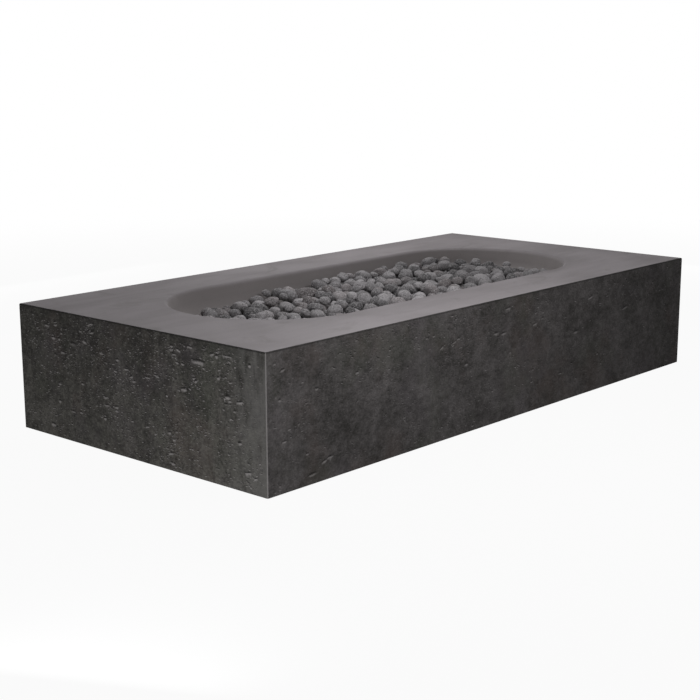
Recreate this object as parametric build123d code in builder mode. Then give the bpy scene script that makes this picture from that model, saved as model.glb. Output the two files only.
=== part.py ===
from build123d import *

import os
from math import cos, pi, radians, sin, tan

import numpy as np
from scipy.ndimage import maximum_filter
from scipy.optimize import linprog
from scipy.spatial import ConvexHull
from scipy.spatial.transform import Rotation as Turn

# Low concrete fire pit: a thin cast block with an oblong bowl, a gas burner under loose lava stones
# and a key valve in the back wall. Sizes are in millimetres. The origin is on the ground under the
# middle of the block, X runs along the block, Y towards its back and Z up.

# Cast concrete body
block_length = 1980.0
block_width = 984.0
block_height = 360.0
wall_thickness = 22.0
deck_thickness = 25.0
outer_edge_radius = 4.0
inner_corner_radius = 30.0

# Oblong bowl in the deck, its rim measured to the sharp edge before the lip is rounded
deck_end = 218.0
deck_side = 195.0
rim_length = block_length - 2 * deck_end
rim_width = block_width - 2 * deck_side
lip_radius = 14.0
bowl_depth = 90.0
bowl_draft = 14.0
cove_radius = 70.0
bowl_shell = 22.0

# Notch for the gas line at the foot of the back wall
notch_width = 180.0
notch_height = 48.0
notch_corner = 14.0
notch_from_valve = 190.0

# Stainless pan, dropped into the bowl's floor with its flange flush
pan_end_inset = 232.0
pan_side_inset = 157.0
pan_length = rim_length - 2 * pan_end_inset
pan_width = rim_width - 2 * pan_side_inset
pan_depth = 16.0
pan_corner = 20.0
pan_bend = 4.0
pan_sheet = 1.5
pan_flange = 24.0
pan_clearance = 1.5
gasket_thickness = 2.0
weep_hole = 7.0
weep_inset = 90.0
weep_spacing_x = pan_length - 2 * weep_inset
weep_spacing_y = 80.0

# Burner: two rails and a cross arm, standing on the pan's floor
burner_end_gap = 50.0
burner_side_gap = 55.0
burner_length = pan_length - 2 * burner_end_gap
burner_gauge = pan_width - 2 * burner_side_gap
tube_diameter = 19.0
arm_diameter = 17.0
tube_wall = 1.2
port_diameter = 3.2
port_pitch = 52.0
port_end = 48.0
port_count = int((burner_length - 2 * port_end) / port_pitch) + 1
cap_flange = 2.0
cap_plug = 8.0
hub_side = 42.0
hub_socket = 9.0
pipe_diameter = 21.3
pipe_bore = 15.0
hub_washer_diameter = 38.0
hub_washer_thickness = 2.0
hub_nut_flats = 34.0
hub_nut_height = 10.0

# Straps that hold the rails down
strap_inset = 140.0
strap_spacing = burner_length - 2 * strap_inset
strap_width = 16.0
strap_sheet = 1.5
strap_foot = 13.0
rest_thickness = 3.0
screw_diameter = 5.0
screw_head = 9.0
screw_head_height = 2.6
screw_length = 14.0
screw_nut_flats = 8.0
screw_nut_height = 4.0

# Gas train under the burner
mixer_gap = 2.5
mixer_length = 86.0
mixer_collar = 32.0
mixer_collar_height = 18.0
mixer_body = 27.0
mixer_taper = 4.0
mixer_socket = 15.0
mixer_throat = 14.0
mixer_chamber = 20.0
mixer_chamber_height = 26.0
air_hole = 10.0
orifice_diameter = 11.0
orifice_length = 14.0
orifice_nose = 6.0
orifice_nose_diameter = 7.0
orifice_bore = 2.4
elbow_diameter = 24.0
elbow_drop = 20.0
elbow_reach = 24.0
spigot_diameter = 15.8
spigot_length = 13.0
gas_bore = 9.0

# Hose and its two nuts
hose_diameter = 15.8
hose_bore = 9.5
hose_nut_flats = 24.0
hose_nut_length = 22.0
hose_nut_gap = 1.0

# Key valve on the back wall
valve_from_end = 430.0
valve_below_deck = 170.0
valve_x = block_length / 2 - valve_from_end
valve_z = block_height - valve_below_deck
valve_diameter = 36.0
valve_half = 26.0
ball_diameter = 19.0
ball_bore = 10.0
seat_diameter = 23.0
seat_face = 7.0
seat_thickness = 5.0
tailpiece_flats = 36.0
tailpiece_length = 24.0
inlet_diameter = 20.8
inlet_depth = 16.0
boss_diameter = 30.0
boss_height = 24.0
stem_diameter = 11.6
stem_square = 8.0
stem_square_length = 14.0
tang_width = 3.0
tang_length = 9.0
tang_depth = 3.0
ring_section = 1.7
ring_groove = 2.2
ring_groove_depth = 1.4
ring_pitch = 5.0
ring_height = 16.0
gland_diameter = 18.0
gland_length = 8.0
sleeve_bore = 22.0
sleeve_diameter = 27.0
sleeve_overlap = 12.0
sleeve_run = 8.0
sleeve_proud = 7.0
sleeve_hole_clearance = 1.5
sleeve_washer_diameter = 48.0
sleeve_washer_thickness = 2.0
sleeve_nut_flats = 40.0
sleeve_nut_height = 8.0
escutcheon_diameter = 66.0
escutcheon_sheet = 3.0
escutcheon_hub = 36.0
escutcheon_height = 9.0

# Loose key, seated on the stem
key_diameter = 15.0
key_length = 88.0
key_bar_diameter = 9.0
key_bar_length = 68.0
key_bar_inset = 9.0

# Clearances
fit = 0.1
seat_gap = 0.3
turning_gap = 0.4

# Lava stones
stone_count = 460
stone_length = 62.0
stone_spread = 9.0
stone_least = 44.0
stone_most = 84.0
big_stone_length = 98.0
big_stone_every = 34
small_stone_count = 100
small_stone_length = 38.0
small_stone_spread = 5.0
small_stone_least = 30.0
stone_corners = 16
stone_unevenness = 0.06
stone_breadth = (0.74, 0.92)
stone_thickness = (0.6, 0.8)
stone_tilt = 25.0
stone_gap = 0.3
burner_margin = 0.8
bed_end_margin = 104.0
bed_side_margin = 24.0
heap_below_deck = 11.0
heap_level_from = -20.0
heap_level_to = 440.0
heap_fall_left = 0.056
heap_fall_right = 0.03
stone_seed = 7

# Levels and places that follow from the sizes
floor_z = block_height - bowl_depth
flange_z = floor_z - pan_sheet
ledge_z = flange_z - gasket_thickness
pan_floor_z = floor_z - pan_depth
pan_under_z = pan_floor_z - pan_sheet
rest_z = pan_floor_z + rest_thickness
rail_z = rest_z + seat_gap + tube_diameter / 2
hub_height = 2 * (rail_z - pan_floor_z)
mixer_top_z = pan_under_z - hub_washer_thickness - hub_nut_height - mixer_gap
mixer_bottom_z = mixer_top_z - mixer_length
elbow_z = mixer_bottom_z - elbow_drop
wall_outer_y = block_width / 2
wall_inner_y = wall_outer_y - wall_thickness
valve_y = wall_inner_y - sleeve_washer_thickness - sleeve_nut_height - sleeve_run - boss_height
boss_y = valve_y + boss_height
gland_y = boss_y + sleeve_overlap
key_y = gland_y + seat_gap
rim_straight = rim_length - rim_width
tube_radius = tube_diameter / 2
strap_inner = tube_radius + seat_gap
strap_outer = strap_inner + strap_sheet
strap_span = 2 * (strap_outer + strap_foot)
screw_span = 2 * strap_outer + strap_foot
foot_z = rest_z + strap_sheet
strap_places = GridLocations(strap_spacing, burner_gauge, 2, 2).local_locations
screw_places = [
    place * Pos(0, side * screw_span / 2) for place in strap_places for side in (-1, 1)
]

os.makedirs("parts", exist_ok=True)


def save(part, name):
    part.label = name
    export_step(part, f"parts/{name}.step")


def bowl_form(outset):
    # The bowl's inside, or with an outset the outside of its shell: a drafted oblong with a coved foot.
    widening = 2 * outset / cos(radians(bowl_draft))
    with BuildPart() as form:
        with BuildSketch(Plane.XY.offset(block_height)):
            SlotOverall(rim_length + widening, rim_width + widening)
        extrude(amount=-(bowl_depth + outset), taper=bowl_draft)
        fillet(form.faces().sort_by(Axis.Z)[0].edges(), cove_radius + outset)
    return form.part


# Concrete body, open underneath
bowl_inside = bowl_form(0)
bowl_outside = bowl_form(bowl_shell)
with BuildPart() as concrete_body:
    with BuildSketch():
        Rectangle(block_length, block_width)
    extrude(amount=block_height)
    fillet(concrete_body.edges().filter_by(Axis.Z), outer_edge_radius)
    fillet(concrete_body.faces().sort_by(Axis.Z)[-1].edges(), outer_edge_radius)
    with BuildSketch():
        RectangleRounded(
            block_length - 2 * wall_thickness, block_width - 2 * wall_thickness, inner_corner_radius
        )
    extrude(amount=block_height - deck_thickness, mode=Mode.SUBTRACT)
    add(bowl_outside)
    add(bowl_inside, mode=Mode.SUBTRACT)
    fillet(concrete_body.faces().sort_by(Axis.Z)[-1].inner_wires()[0].edges(), lip_radius)
    # Rebate for the pan's flange and the opening for its tub
    with BuildSketch(Plane.XY.offset(floor_z)):
        RectangleRounded(
            pan_length + 2 * (pan_flange + pan_clearance),
            pan_width + 2 * (pan_flange + pan_clearance),
            pan_corner + pan_flange + pan_clearance,
        )
    extrude(amount=ledge_z - floor_z, mode=Mode.SUBTRACT)
    with BuildSketch(Plane.XY.offset(floor_z)):
        RectangleRounded(
            pan_length + 2 * pan_clearance, pan_width + 2 * pan_clearance, pan_corner + pan_clearance
        )
    extrude(amount=-bowl_depth, mode=Mode.SUBTRACT)
    # Valve hole and gas-line notch in the back wall
    with BuildSketch(Plane.XZ.offset(-wall_inner_y)):
        with Locations((valve_x, valve_z)):
            Circle(sleeve_diameter / 2 + sleeve_hole_clearance)
        with Locations((valve_x + notch_from_valve, notch_height / 2 - notch_corner)):
            RectangleRounded(notch_width, notch_height + 2 * notch_corner, notch_corner)
    extrude(amount=-wall_thickness, mode=Mode.SUBTRACT)
save(concrete_body.part, "concrete_body")

# Burner pan, a folded tub with a flat flange
with BuildPart() as burner_pan:
    with BuildSketch(Plane.XY.offset(pan_under_z)):
        RectangleRounded(pan_length, pan_width, pan_corner)
    extrude(amount=floor_z - pan_under_z)
    fillet(burner_pan.faces().sort_by(Axis.Z)[0].edges(), pan_bend)
    offset(amount=-pan_sheet, openings=burner_pan.faces().sort_by(Axis.Z)[-1])
    with BuildSketch(Plane.XY.offset(flange_z)):
        RectangleRounded(
            pan_length + 2 * pan_flange, pan_width + 2 * pan_flange, pan_corner + pan_flange
        )
        RectangleRounded(
            pan_length - 2 * pan_sheet,
            pan_width - 2 * pan_sheet,
            pan_corner - pan_sheet,
            mode=Mode.SUBTRACT,
        )
    extrude(amount=pan_sheet)
    with BuildSketch(Plane.XY.offset(pan_under_z)):
        Circle(pipe_diameter / 2 + seat_gap)
        with GridLocations(weep_spacing_x, weep_spacing_y, 2, 2):
            Circle(weep_hole / 2)
        with Locations(*screw_places):
            Circle(screw_diameter / 2 + fit)
    extrude(amount=2 * pan_sheet, mode=Mode.SUBTRACT)
save(burner_pan.part, "burner_pan")

with BuildPart() as pan_gasket:
    with BuildSketch(Plane.XY.offset(ledge_z)):
        RectangleRounded(
            pan_length + 2 * pan_flange, pan_width + 2 * pan_flange, pan_corner + pan_flange
        )
        RectangleRounded(
            pan_length + 2 * pan_clearance,
            pan_width + 2 * pan_clearance,
            pan_corner + pan_clearance,
            mode=Mode.SUBTRACT,
        )
    extrude(amount=gasket_thickness)
save(pan_gasket.part, "pan_gasket")

# Burner rails, each with its half of the cross arm and a row of ports along its top
arm_start = hub_side / 2 - hub_socket
arm_length = burner_gauge / 2 - arm_start


def burner_tubing(inset):
    # Rails and arms as plain rods, for the outside of the tubes or, inset by their wall, for their bores.
    with BuildPart() as tubing:
        with Locations((0, burner_gauge / 2, rail_z)):
            Cylinder(tube_radius - inset, burner_length, rotation=(0, 90, 0))
        with BuildSketch(Plane.XZ.offset(-arm_start)):
            with Locations((0, rail_z)):
                Circle(arm_diameter / 2 - inset)
        extrude(amount=-arm_length)
        mirror(about=Plane.XZ)
    return tubing.part


tubes_outside = burner_tubing(0)
tubes_inside = burner_tubing(tube_wall)
with BuildPart() as burner_rails:
    add(tubes_outside)
    add(tubes_inside, mode=Mode.SUBTRACT)
    with BuildSketch(Plane.XY.offset(rail_z)):
        with GridLocations(port_pitch, burner_gauge, port_count, 2):
            Circle(port_diameter / 2)
    extrude(amount=tube_diameter, mode=Mode.SUBTRACT)
save(burner_rails.part, "burner_rails")

with BuildPart() as burner_end_caps:
    with BuildSketch(Plane.YZ.offset(burner_length / 2)):
        with Locations((-burner_gauge / 2, rail_z), (burner_gauge / 2, rail_z)):
            Circle(tube_radius)
    extrude(amount=cap_flange)
    with BuildSketch(Plane.YZ.offset(burner_length / 2)):
        with Locations((-burner_gauge / 2, rail_z), (burner_gauge / 2, rail_z)):
            Circle(tube_radius - tube_wall - fit)
    extrude(amount=-cap_plug)
    mirror(about=Plane.YZ)
save(burner_end_caps.part, "burner_end_caps")

# Burner hub, with a threaded inlet pipe down through the pan
with BuildPart() as burner_hub:
    with BuildSketch(Plane.XY.offset(pan_floor_z)):
        RectangleRounded(hub_side, hub_side, hub_side / 10)
    extrude(amount=hub_height)
    with BuildSketch(Plane.XY.offset(pan_floor_z)):
        Circle(pipe_diameter / 2)
    extrude(amount=mixer_top_z - mixer_socket - pan_floor_z)
    with BuildSketch(Plane.XY.offset(rail_z)):
        Circle(pipe_bore / 2)
    extrude(amount=mixer_top_z - mixer_socket - rail_z, mode=Mode.SUBTRACT)
    with Locations((0, 0, rail_z)):
        Cylinder(pipe_bore / 2, hub_side, rotation=(90, 0, 0), mode=Mode.SUBTRACT)
    with BuildSketch(Plane.XZ.offset(-hub_side / 2)):
        with Locations((0, rail_z)):
            Circle(arm_diameter / 2 + fit)
    extrude(amount=hub_socket, mode=Mode.SUBTRACT)
    with BuildSketch(Plane.XZ.offset(hub_side / 2)):
        with Locations((0, rail_z)):
            Circle(arm_diameter / 2 + fit)
    extrude(amount=-hub_socket, mode=Mode.SUBTRACT)
save(burner_hub.part, "burner_hub")

with BuildPart() as hub_washer:
    with BuildSketch(Plane.XY.offset(pan_under_z)):
        Circle(hub_washer_diameter / 2)
        Circle(pipe_diameter / 2 + fit, mode=Mode.SUBTRACT)
    extrude(amount=-hub_washer_thickness)
save(hub_washer.part, "hub_washer")

with BuildPart() as hub_locknut:
    with BuildSketch(Plane.XY.offset(pan_under_z - hub_washer_thickness)):
        RegularPolygon(hub_nut_flats / 2, 6, major_radius=False)
        Circle(pipe_diameter / 2 + fit, mode=Mode.SUBTRACT)
    extrude(amount=-hub_nut_height)
save(hub_locknut.part, "hub_locknut")

# Rest plates and straps over the rails, screwed through the pan
with BuildPart() as burner_rests:
    with BuildSketch(Plane.XY.offset(pan_floor_z)):
        with Locations(*strap_places):
            Rectangle(strap_width, strap_span)
        with Locations(*screw_places):
            Circle(screw_diameter / 2 + fit, mode=Mode.SUBTRACT)
    extrude(amount=rest_thickness)
save(burner_rests.part, "burner_rests")

with BuildPart() as burner_straps:
    for strap_x in (-strap_spacing / 2, strap_spacing / 2):
        with BuildSketch(Plane.YZ.offset(strap_x)):
            with Locations((-burner_gauge / 2, rest_z), (burner_gauge / 2, rest_z)):
                Rectangle(strap_span, strap_sheet, align=(Align.CENTER, Align.MIN))
                Rectangle(2 * strap_outer, rail_z - rest_z, align=(Align.CENTER, Align.MIN))
            with Locations((-burner_gauge / 2, rail_z), (burner_gauge / 2, rail_z)):
                Circle(strap_outer)
            with Locations((-burner_gauge / 2, rail_z), (burner_gauge / 2, rail_z)):
                Circle(strap_inner, mode=Mode.SUBTRACT)
                Rectangle(
                    2 * strap_inner,
                    tube_diameter,
                    align=(Align.CENTER, Align.MAX),
                    mode=Mode.SUBTRACT,
                )
            with Locations((0, rest_z)):
                Rectangle(
                    burner_gauge + strap_span,
                    tube_diameter,
                    align=(Align.CENTER, Align.MAX),
                    mode=Mode.SUBTRACT,
                )
        extrude(amount=strap_width / 2, both=True)
    with BuildSketch(Plane.XY.offset(rest_z)):
        with Locations(*screw_places):
            Circle(screw_diameter / 2 + fit)
    extrude(amount=strap_sheet, mode=Mode.SUBTRACT)
save(burner_straps.part, "burner_straps")

with BuildPart() as strap_screws:
    with BuildSketch(Plane.XY.offset(foot_z)):
        with Locations(*screw_places):
            Circle(screw_head / 2)
    extrude(amount=screw_head_height)
    with BuildSketch(Plane.XY.offset(foot_z)):
        with Locations(*screw_places):
            Circle(screw_diameter / 2)
    extrude(amount=-screw_length)
save(strap_screws.part, "strap_screws")

with BuildPart() as strap_nuts:
    with BuildSketch(Plane.XY.offset(pan_under_z)):
        with Locations(*screw_places):
            RegularPolygon(screw_nut_flats / 2, 6, major_radius=False)
            Circle(screw_diameter / 2 + fit, mode=Mode.SUBTRACT)
    extrude(amount=-screw_nut_height)
save(strap_nuts.part, "strap_nuts")

# Air mixer, a turned brass venturi with four air holes over the orifice
spigot_radius = spigot_diameter / 2
orifice_z = mixer_bottom_z + spigot_length
chamber_z = orifice_z + orifice_length
with BuildPart() as air_mixer:
    with BuildSketch(Plane.XZ):
        with BuildLine():
            Polyline(
                (pipe_diameter / 2 + fit, mixer_top_z),
                (mixer_collar / 2, mixer_top_z),
                (mixer_collar / 2, mixer_top_z - mixer_collar_height),
                (mixer_body / 2, mixer_top_z - mixer_collar_height - mixer_taper),
                (mixer_body / 2, mixer_bottom_z + mixer_collar_height + mixer_taper),
                (mixer_collar / 2, mixer_bottom_z + mixer_collar_height),
                (mixer_collar / 2, mixer_bottom_z),
                (spigot_radius + fit, mixer_bottom_z),
                (spigot_radius + fit, orifice_z),
                (orifice_diameter / 2 + fit, orifice_z),
                (orifice_diameter / 2 + fit, chamber_z),
                (mixer_chamber / 2, chamber_z),
                (mixer_chamber / 2, chamber_z + mixer_chamber_height),
                (mixer_throat / 2, mixer_top_z - mixer_socket - mixer_taper),
                (mixer_throat / 2, mixer_top_z - mixer_socket),
                (pipe_diameter / 2 + fit, mixer_top_z - mixer_socket),
                close=True,
            )
        make_face()
    revolve(axis=Axis.Z)
    for side in (Plane.XZ, Plane.YZ):
        with BuildSketch(side):
            with Locations((0, chamber_z + mixer_chamber_height / 2)):
                Circle(air_hole / 2)
        extrude(amount=mixer_collar, both=True, mode=Mode.SUBTRACT)
save(air_mixer.part, "air_mixer")

with BuildPart() as gas_orifice:
    with BuildSketch(Plane.XZ):
        with BuildLine():
            Polyline(
                (orifice_bore / 2, orifice_z),
                (orifice_diameter / 2, orifice_z),
                (orifice_diameter / 2, chamber_z),
                (orifice_nose_diameter / 2, chamber_z + orifice_nose),
                (orifice_bore / 2, chamber_z + orifice_nose),
                close=True,
            )
        make_face()
    revolve(axis=Axis.Z)
save(gas_orifice.part, "gas_orifice")

# Elbow that turns the gas from the hose up into the mixer
with BuildPart() as flare_elbow:
    with Locations((0, 0, elbow_z)):
        Sphere(elbow_diameter / 2)
    with BuildSketch(Plane.XY.offset(elbow_z)):
        Circle(elbow_diameter / 2)
    extrude(amount=elbow_drop)
    with BuildSketch(Plane.XY.offset(mixer_bottom_z)):
        Circle(spigot_radius)
    extrude(amount=spigot_length)
    with BuildSketch(Plane.YZ):
        with Locations((0, elbow_z)):
            Circle(elbow_diameter / 2)
    extrude(amount=elbow_reach)
    with BuildSketch(Plane.YZ.offset(elbow_reach)):
        with Locations((0, elbow_z)):
            Circle(spigot_radius)
    extrude(amount=spigot_length)
    with BuildSketch(Plane.XY.offset(elbow_z)):
        Circle(gas_bore / 2)
    extrude(amount=elbow_drop + spigot_length, mode=Mode.SUBTRACT)
    with BuildSketch(Plane.YZ.offset(-gas_bore / 2)):
        with Locations((0, elbow_z)):
            Circle(gas_bore / 2)
    extrude(amount=gas_bore / 2 + elbow_reach + spigot_length, mode=Mode.SUBTRACT)
save(flare_elbow.part, "flare_elbow")


def hose_nut(x, y, z):
    # Hexagon nut over a spigot and the end of the hose, its axis along X from the given point.
    with BuildPart() as nut:
        with BuildSketch(Plane.YZ.offset(x)):
            with Locations((y, z)):
                RegularPolygon(hose_nut_flats / 2, 6, major_radius=False)
                Circle(max(hose_diameter, spigot_diameter) / 2 + fit, mode=Mode.SUBTRACT)
        extrude(amount=hose_nut_length)
    return nut.part


save(hose_nut(elbow_reach + hose_nut_gap, 0, elbow_z), "burner_hose_nut")
valve_outlet_x = valve_x - valve_half
save(
    hose_nut(valve_outlet_x - hose_nut_gap - hose_nut_length, valve_y, valve_z), "valve_hose_nut"
)

# Hose from the valve's outlet to the elbow, sagging between its two ends
hose_start = Vector(elbow_reach + spigot_length, 0, elbow_z)
hose_end = Vector(valve_outlet_x - spigot_length, valve_y, valve_z)
hose_route = [
    hose_start,
    hose_start + Vector(100, 0, 0),
    hose_start + Vector(208, 55, -18),
    hose_start + Vector(264, 170, -28),
    hose_end + Vector(-201, -124, -85),
    hose_end + Vector(-148, -26, -32),
    hose_end + Vector(-66, 0, 0),
    hose_end,
]
arc_share = 0.45
hose_radii = []
for before, corner, after in zip(hose_route, hose_route[1:], hose_route[2:]):
    run_in = corner - before
    run_out = after - corner
    half_turn = radians(run_in.get_angle(run_out)) / 2
    hose_radii.append(arc_share * min(run_in.length, run_out.length) / tan(half_turn))
with BuildPart() as gas_hose:
    with BuildLine() as hose_line:
        FilletPolyline(*hose_route, radius=hose_radii)
    with BuildSketch(Plane.YZ.offset(hose_start.X)):
        with Locations((hose_start.Y, hose_start.Z)):
            Circle(hose_diameter / 2)
            Circle(hose_bore / 2, mode=Mode.SUBTRACT)
    sweep()
save(gas_hose.part, "gas_hose")
hose_length = hose_line.wires()[0].length
hose_section = pi / 4 * (hose_diameter**2 - hose_bore**2)
print("hose bend radii", [round(radius) for radius in hose_radii])
print("hose length", round(hose_length), "volume ratio", gas_hose.part.volume / hose_length / hose_section)

# Key valve: brass body with its run along X and its stem towards the back wall
ball_radius = ball_diameter / 2
seat_back = seat_face + seat_thickness
stem_bore = stem_diameter / 2 + turning_gap
run_plane = Plane.YZ.offset(valve_x)
stem_plane = Plane.XZ.offset(-valve_y)


def along_run(diameter, start, end, mode=Mode.ADD):
    # Round length of the valve's run, between two distances from its middle.
    with BuildSketch(run_plane.offset(start)) as section:
        with Locations((valve_y, valve_z)):
            Circle(diameter / 2)
    extrude(section.sketch, amount=end - start, mode=mode)


def along_stem(diameter, start, end, mode=Mode.ADD):
    # Round length on the stem's axis, between two distances from the valve's middle.
    with BuildSketch(stem_plane.offset(-start)) as section:
        with Locations((valve_x, valve_z)):
            Circle(diameter / 2)
    extrude(section.sketch, amount=start - end, mode=mode)


with BuildPart() as valve_body:
    along_run(valve_diameter, -valve_half, valve_half)
    along_run(spigot_diameter, -valve_half - spigot_length, -valve_half)
    along_stem(boss_diameter, 0, boss_height)
    along_stem(sleeve_bore - 2 * fit, boss_height, boss_height + sleeve_overlap)
    along_run(seat_diameter + 2 * fit, -seat_back, valve_half, Mode.SUBTRACT)
    along_run(gas_bore, -valve_half - spigot_length, -seat_back, Mode.SUBTRACT)
    along_stem(2 * stem_bore, 0, boss_height + sleeve_overlap, Mode.SUBTRACT)
    along_stem(
        gland_diameter + 2 * fit,
        boss_height + sleeve_overlap - gland_length,
        boss_height + sleeve_overlap,
        Mode.SUBTRACT,
    )
save(valve_body.part, "valve_body")

with BuildPart() as valve_tailpiece:
    along_run(seat_diameter, seat_back, valve_half)
    with BuildSketch(run_plane.offset(valve_half)):
        with Locations((valve_y, valve_z)):
            RegularPolygon(tailpiece_flats / 2, 6, major_radius=False)
    extrude(amount=tailpiece_length)
    along_run(gas_bore, seat_back, valve_half + tailpiece_length, Mode.SUBTRACT)
    along_run(
        inlet_diameter,
        valve_half + tailpiece_length - inlet_depth,
        valve_half + tailpiece_length,
        Mode.SUBTRACT,
    )
save(valve_tailpiece.part, "valve_tailpiece")

with BuildPart() as valve_seats:
    with BuildSketch(Plane((valve_x, valve_y, valve_z))):
        with Locations((seat_face, ball_bore / 2)):
            Rectangle(
                seat_thickness, (seat_diameter - ball_bore) / 2, align=(Align.MIN, Align.MIN)
            )
        Circle(ball_radius + seat_gap, mode=Mode.SUBTRACT)
    revolve(axis=Axis((valve_x, valve_y, valve_z), (1, 0, 0)))
    mirror(about=run_plane)
save(valve_seats.part, "valve_seats")

# Ball, shut at rest with its bore upright, and the stem whose tang turns it
with BuildPart() as valve_ball:
    with Locations((valve_x, valve_y, valve_z)):
        Sphere(ball_radius)
        Cylinder(ball_bore / 2, 2 * ball_diameter, mode=Mode.SUBTRACT)
    with BuildSketch(stem_plane.offset(-ball_radius)):
        with Locations((valve_x, valve_z)):
            Rectangle(tang_width, ball_diameter)
    extrude(amount=tang_depth, mode=Mode.SUBTRACT)
save(valve_ball.part, "valve_ball")

stem_top = boss_height + sleeve_overlap
ring_places = (ring_height, ring_height + ring_pitch)
groove_diameter = stem_diameter - 2 * ring_groove_depth
with BuildPart() as valve_stem:
    with BuildSketch(stem_plane.offset(tang_depth - ball_radius - fit)):
        with Locations((valve_x, valve_z)):
            Rectangle(tang_width - 2 * fit, tang_length)
    extrude(amount=fit - tang_depth - seat_gap)
    along_stem(stem_diameter, ball_radius + seat_gap, stem_top)
    with BuildSketch(stem_plane.offset(-stem_top)):
        with Locations((valve_x, valve_z)):
            Rectangle(stem_square, stem_square)
    extrude(amount=-stem_square_length)
    for place in ring_places:
        with BuildSketch(stem_plane.offset(-place)):
            with Locations((valve_x, valve_z)):
                Circle(stem_diameter)
                Circle(groove_diameter / 2, mode=Mode.SUBTRACT)
        extrude(amount=ring_groove / 2, both=True, mode=Mode.SUBTRACT)
save(valve_stem.part, "valve_stem")

with BuildPart() as stem_rings:
    for place in ring_places:
        with Locations((valve_x, valve_y + place, valve_z)):
            Torus(groove_diameter / 2 + fit + ring_section / 2, ring_section / 2, rotation=(90, 0, 0))
save(stem_rings.part, "stem_rings")

with BuildPart() as stem_gland:
    along_stem(gland_diameter, stem_top - gland_length, stem_top)
    along_stem(2 * stem_bore, stem_top - gland_length, stem_top, Mode.SUBTRACT)
save(stem_gland.part, "stem_gland")

# Sleeve through the wall, clamped between a locknut inside and the escutcheon outside
sleeve_end = wall_outer_y + sleeve_proud - valve_y
with BuildPart() as valve_sleeve:
    along_stem(sleeve_diameter, boss_height, sleeve_end)
    along_stem(sleeve_bore, boss_height, sleeve_end, Mode.SUBTRACT)
save(valve_sleeve.part, "valve_sleeve")

with BuildPart() as sleeve_washer:
    along_stem(
        sleeve_washer_diameter,
        wall_inner_y - sleeve_washer_thickness - valve_y,
        wall_inner_y - valve_y,
    )
    along_stem(sleeve_diameter + 2 * fit, boss_height, sleeve_end, Mode.SUBTRACT)
save(sleeve_washer.part, "sleeve_washer")

with BuildPart() as sleeve_locknut:
    with BuildSketch(Plane.XZ.offset(sleeve_washer_thickness - wall_inner_y)):
        with Locations((valve_x, valve_z)):
            RegularPolygon(sleeve_nut_flats / 2, 6, major_radius=False)
            Circle(sleeve_diameter / 2 + fit, mode=Mode.SUBTRACT)
    extrude(amount=sleeve_nut_height)
save(sleeve_locknut.part, "sleeve_locknut")

with BuildPart() as escutcheon:
    along_stem(escutcheon_diameter, wall_outer_y - valve_y, wall_outer_y + escutcheon_sheet - valve_y)
    fillet(escutcheon.faces().sort_by(Axis.Y)[-1].edges(), escutcheon_sheet / 2)
    along_stem(escutcheon_hub, wall_outer_y - valve_y, wall_outer_y + escutcheon_height - valve_y)
    fillet(escutcheon.faces().sort_by(Axis.Y)[-1].edges(), escutcheon_sheet / 2)
    along_stem(sleeve_diameter + 2 * fit, 0, 2 * sleeve_end, Mode.SUBTRACT)
save(escutcheon.part, "escutcheon")

# Key: a shank with a square socket, and a bar through its far end
key_end = key_y + key_length
bar_y = key_end - key_bar_inset
with BuildPart() as key_shank:
    along_stem(key_diameter, key_y - valve_y, key_end - valve_y)
    fillet(key_shank.faces().sort_by(Axis.Y)[-1].edges(), key_diameter / 8)
    with BuildSketch(Plane.XZ.offset(-key_y)):
        with Locations((valve_x, valve_z)):
            Rectangle(stem_square + 2 * seat_gap, stem_square + 2 * seat_gap)
    extrude(amount=-stem_square_length, mode=Mode.SUBTRACT)
    with Locations((valve_x, bar_y, valve_z)):
        Cylinder(key_bar_diameter / 2 + fit, key_diameter * 2, rotation=(0, 90, 0), mode=Mode.SUBTRACT)
save(key_shank.part, "key_shank")

with BuildPart() as key_handle:
    with Locations((valve_x, bar_y, valve_z)):
        Cylinder(key_bar_diameter / 2, key_bar_length, rotation=(0, 90, 0))
    fillet(key_handle.edges().filter_by(GeomType.CIRCLE), key_bar_diameter / 4)
save(key_handle.part, "key_handle")

# Lava stones, settled one at a time into the lowest hollow that a few tries find
cell = 1.5
tries = 120
wall_slope = tan(radians(bowl_draft))
cove_z = floor_z + cove_radius
cove_foot_z = cove_z - cove_radius * sin(radians(bowl_draft))
cove_foot = rim_width / 2 - (block_height - cove_foot_z) * wall_slope
cove_centre = cove_foot - cove_radius * cos(radians(bowl_draft))


def from_spine(x, y):
    # Distance from the straight line between the centres of the bowl's round ends.
    return np.hypot(np.maximum(np.abs(x) - rim_straight / 2, 0), y)


def bowl_height(x, y):
    # Height of the bowl's concrete: flat floor, cove, then drafted wall.
    out = from_spine(x, y)
    cove = cove_z - np.sqrt(np.maximum(cove_radius**2 - np.maximum(out - cove_centre, 0) ** 2, 0))
    wall = cove_foot_z + (out - cove_foot) / wall_slope
    return np.where(out < cove_foot, cove, wall)


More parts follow.
